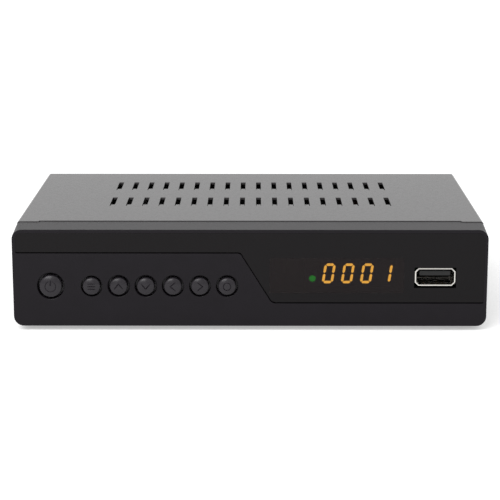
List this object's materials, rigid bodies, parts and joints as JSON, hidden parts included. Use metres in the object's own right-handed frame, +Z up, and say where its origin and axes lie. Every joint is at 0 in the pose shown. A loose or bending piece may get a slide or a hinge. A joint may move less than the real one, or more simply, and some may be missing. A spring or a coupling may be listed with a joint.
{
  "type": "satellite tv receiver",
  "caption": "Compact set-top box with moulded fascia, push buttons, LED display behind a smoked plate, USB socket, vented steel cover and rear aerial, video and power sockets.",
  "frame": {"origin": "centre of the footprint, on the table under the feet", "axes": "+X to the right seen from the front (the long side), +Y from front to back, +Z up"},
  "size_m": [0.1712, 0.1208, 0.0368],
  "materials": {
    "fascia_abs": "fine spark-eroded grain",
    "smoked_acrylic": "polished, smoked",
    "button_abs": "satin",
    "painted_steel": "black powder coat",
    "black_screw": "black oxide",
    "zinc_screw": "zinc plated",
    "foot_rubber": "matte",
    "nickel_steel": "nickel plated",
    "nickel_brass": "nickel plated",
    "tin_plate": "tinned",
    "gold_contact": "gold plated",
    "socket_insulator": "moulded",
    "white_insulator": "moulded",
    "coax_plastic": "moulded",
    "inner_abs": "moulded",
    "display_body": "moulded, dark face",
    "lit_segment": "diffusing epoxy, lit",
    "unlit_segment": "diffusing epoxy",
    "green_led": "diffusing epoxy, lit",
    "clear_led": "diffusing epoxy",
    "dark_epoxy": "dark infrared epoxy",
    "circuit_board": "solder resist",
    "component_body": "moulded epoxy",
    "aluminium_fins": "extruded",
    "capacitor_can": "drawn can"
  },
  "bodies": {
    "housing": {"fascia": "fascia_abs", "display_plate": "smoked_acrylic", "switch_bodies": "component_body", "button_guide": "inner_abs", "front_board": "circuit_board", "front_board_screws": "zinc_screw", "display_holder": "inner_abs", "display_module": "display_body", "lit_segments": "lit_segment", "unlit_segments": "unlit_segment", "power_led": "green_led", "standby_led": "clear_led", "ir_receiver": "dark_epoxy", "usb_shell": "nickel_steel", "usb_tongue": "socket_insulator", "usb_contacts": "gold_contact", "top_cover": "painted_steel", "cover_screws": "black_screw", "chassis": "painted_steel", "rubber_feet": "foot_rubber", "board_standoffs": "zinc_screw", "main_board": "circuit_board", "main_board_screws": "zinc_screw", "board_header": "socket_insulator", "processor": "component_body", "heatsink": "aluminium_fins", "memory_chips": "component_body", "capacitors": "capacitor_can", "inductors": "component_body", "crystal": "nickel_steel", "tuner_can": "tin_plate", "tuner_lid": "tin_plate", "lnb_in_connector": "nickel_brass", "lnb_out_connector": "nickel_brass", "f_insulators": "white_insulator", "f_nuts": "nickel_brass", "scart_housing": "socket_insulator", "scart_contacts": "gold_contact", "hdmi_shell": "nickel_steel", "hdmi_insert": "socket_insulator", "coax_shell": "nickel_brass", "coax_insulator": "coax_plastic", "ir_jack": "socket_insulator", "dc_inlet": "socket_insulator", "dc_centre_pin": "nickel_brass"},
    "power_key": {"power_button": "button_abs", "power_plunger": "component_body"},
    "menu_key": {"menu_button": "button_abs", "menu_plunger": "component_body"},
    "up_key": {"up_button": "button_abs", "up_plunger": "component_body"},
    "down_key": {"down_button": "button_abs", "down_plunger": "component_body"},
    "left_key": {"left_button": "button_abs", "left_plunger": "component_body"},
    "right_key": {"right_button": "button_abs", "right_plunger": "component_body"},
    "ok_key": {"ok_button": "button_abs", "ok_plunger": "component_body"}
  },
  "joints": [
    {"name": "power_press", "type": "slide", "parent": "housing", "child": "power_key", "axis": [0, 1, 0], "range_m": [0, 0.00045], "stiffness_N_per_m": 300},
    {"name": "menu_press", "type": "slide", "parent": "housing", "child": "menu_key", "axis": [0, 1, 0], "range_m": [0, 0.00045], "stiffness_N_per_m": 300},
    {"name": "up_press", "type": "slide", "parent": "housing", "child": "up_key", "axis": [0, 1, 0], "range_m": [0, 0.00045], "stiffness_N_per_m": 300},
    {"name": "down_press", "type": "slide", "parent": "housing", "child": "down_key", "axis": [0, 1, 0], "range_m": [0, 0.00045], "stiffness_N_per_m": 300},
    {"name": "left_press", "type": "slide", "parent": "housing", "child": "left_key", "axis": [0, 1, 0], "range_m": [0, 0.00045], "stiffness_N_per_m": 300},
    {"name": "right_press", "type": "slide", "parent": "housing", "child": "right_key", "axis": [0, 1, 0], "range_m": [0, 0.00045], "stiffness_N_per_m": 300},
    {"name": "ok_press", "type": "slide", "parent": "housing", "child": "ok_key", "axis": [0, 1, 0], "range_m": [0, 0.00045], "stiffness_N_per_m": 300}
  ]
}
